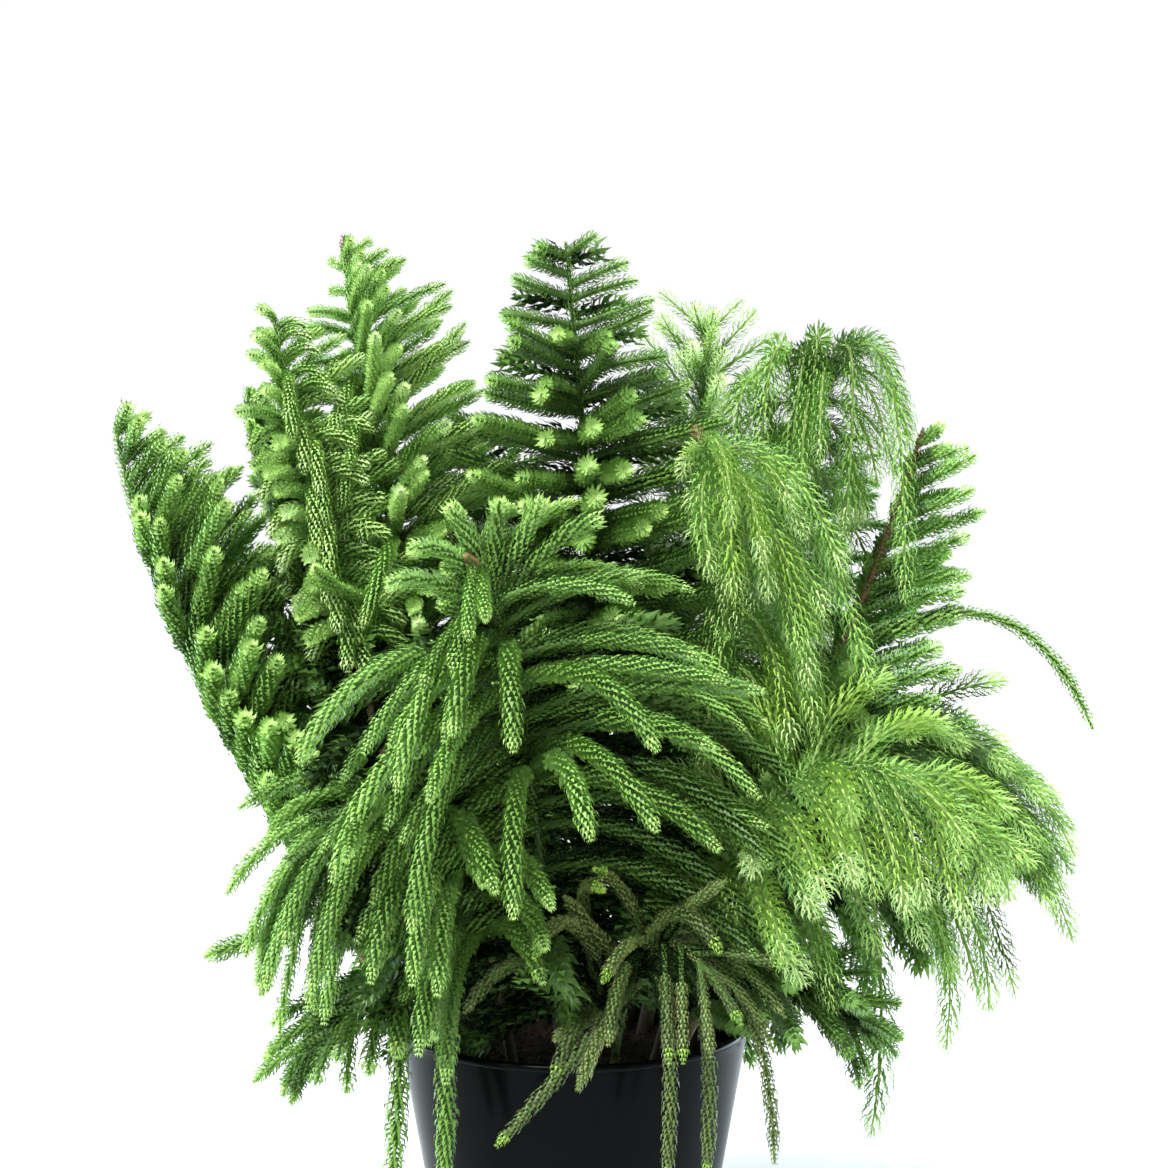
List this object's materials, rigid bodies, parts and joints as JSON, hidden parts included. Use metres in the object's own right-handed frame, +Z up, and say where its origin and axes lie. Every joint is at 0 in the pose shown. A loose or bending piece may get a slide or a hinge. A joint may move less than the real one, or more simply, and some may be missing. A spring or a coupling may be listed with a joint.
{
  "type": "norfolk island pine boughs in a pot",
  "caption": "A full bunch of cut Norfolk Island pine boughs, upright, nodding and weeping, standing in a tapered dark pot.",
  "frame": {"origin": "The centre of the pot's flat underside, on the surface that the pot stands on.", "axes": "+Z is up. -Y is the front, the side that the picture shows. +X is the picture's right."},
  "size_m": [0.7498, 0.5554, 0.8594],
  "materials": {
    "pot_plastic": "dark, semi-gloss moulded plastic",
    "fill_mix": "dark, crumbly, matt",
    "bark": "brown-green, scaly, matt",
    "needles_dark": "deep green needles, satin",
    "needles_mid": "green needles, satin, lighter at the tips",
    "needles_soft": "fresh green needles, satin",
    "needles_bright": "yellow-green needles, satin",
    "needles_olive": "dull olive needles, matt"
  },
  "bodies": {
    "root": {"back_foliage": "needles_dark", "back_left_foliage": "needles_dark", "back_left_limb": "bark", "back_limb": "bark", "back_right_foliage": "needles_soft", "back_right_limb": "bark", "back_side_foliage": "needles_dark", "back_side_limb": "bark", "bright_foliage": "needles_bright", "bright_limb": "bark", "centre_foliage": "needles_mid", "centre_limb": "bark", "fill": "fill_mix", "front_foliage_left": "needles_mid", "front_foliage_right": "needles_mid", "front_limb": "bark", "inner_back_foliage": "needles_dark", "inner_back_limb": "bark", "inner_left_foliage": "needles_soft", "inner_left_limb": "bark", "left_foliage": "needles_mid", "left_limb": "bark", "low_left_foliage": "needles_mid", "low_left_limb": "bark", "low_left_shoot_1": "needles_mid", "low_right_foliage": "needles_soft", "low_right_limb": "bark", "low_right_shoot_1": "needles_soft", "nodding_foliage": "needles_bright", "nodding_limb": "bark", "olive_foliage": "needles_olive", "olive_limb": "bark", "outer_back_foliage": "needles_dark", "outer_back_limb": "bark", "outer_left_foliage": "needles_mid", "outer_left_limb": "bark", "pot": "pot_plastic", "right_foliage": "needles_mid", "right_limb": "bark", "right_shoot_1": "needles_mid", "rim_left_foliage": "needles_mid", "rim_left_limb": "bark", "rim_right_foliage": "needles_dark", "rim_right_limb": "bark", "side_right_foliage": "needles_soft", "side_right_limb": "bark", "side_right_shoot_1": "needles_soft", "upper_left_foliage": "needles_soft", "upper_left_limb": "bark", "weeping_foliage_left": "needles_soft", "weeping_foliage_right": "needles_soft", "weeping_limb": "bark"}
  },
  "joints": []
}
